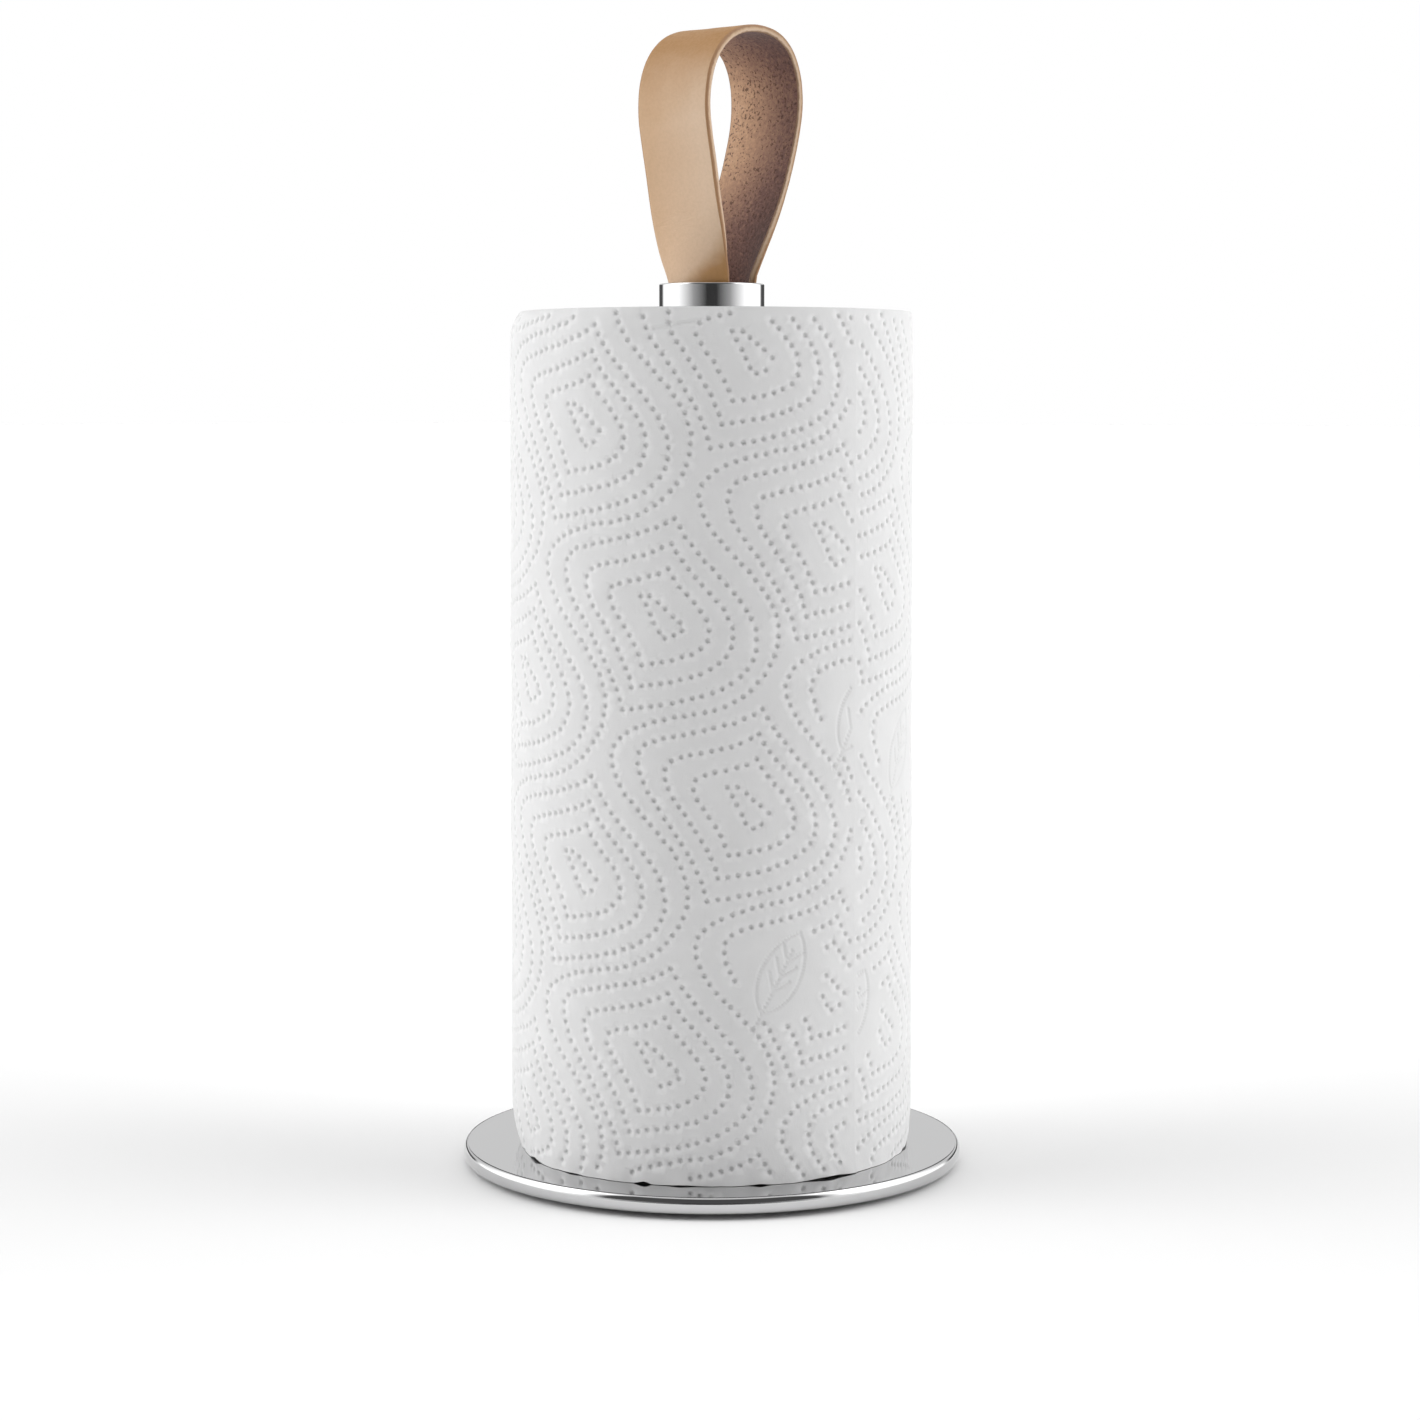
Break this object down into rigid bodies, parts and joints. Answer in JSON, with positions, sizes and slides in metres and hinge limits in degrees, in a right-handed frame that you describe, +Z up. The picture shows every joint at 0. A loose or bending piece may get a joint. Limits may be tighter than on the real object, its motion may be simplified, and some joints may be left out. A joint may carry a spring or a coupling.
{
  "type": "paper towel holder",
  "caption": "Upright kitchen roll holder: weighted round steel base, polished post, leather grab loop at the top, and a roll that spins and lifts off.",
  "frame": {"origin": "centre of the base's underside, on the surface it stands on", "axes": "+Z up along the post, X the way the strap loop is wide, Y along the strap's width"},
  "size_m": [0.14, 0.14, 0.3174],
  "materials": {
    "polished_steel": "mirror-polished stainless steel",
    "ballast": "black primed",
    "pad_rubber": "fine matt",
    "plain_steel": "turned, bright",
    "leather": "smooth vegetable-tanned grain outside, open flesh side inside",
    "nylon": "turned",
    "core_card": "plain grey-brown board",
    "tissue": "soft dotted emboss"
  },
  "bodies": {
    "stand": {"base_shell": "polished_steel", "base_weight": "ballast", "grip_pad": "pad_rubber", "base_screw": "plain_steel", "foot_insert": "plain_steel", "post_tube": "polished_steel", "top_bush": "polished_steel", "strap": "leather", "strap_plug": "nylon", "strap_pin": "plain_steel"},
    "core": {"roll_core": "core_card"},
    "roll": {"paper_winding": "tissue", "outer_sheet": "tissue"}
  },
  "joints": [
    {"name": "roll_lift", "type": "slide", "parent": "stand", "child": "core", "axis": [0, 0, 1], "range_m": [0, 0.33], "deforming": ["strap"]},
    {"name": "roll_spin", "type": "hinge", "parent": "core", "child": "roll", "pos_m": [0, 0, 0.12], "axis": [0, 0, 1], "continuous": true}
  ]
}
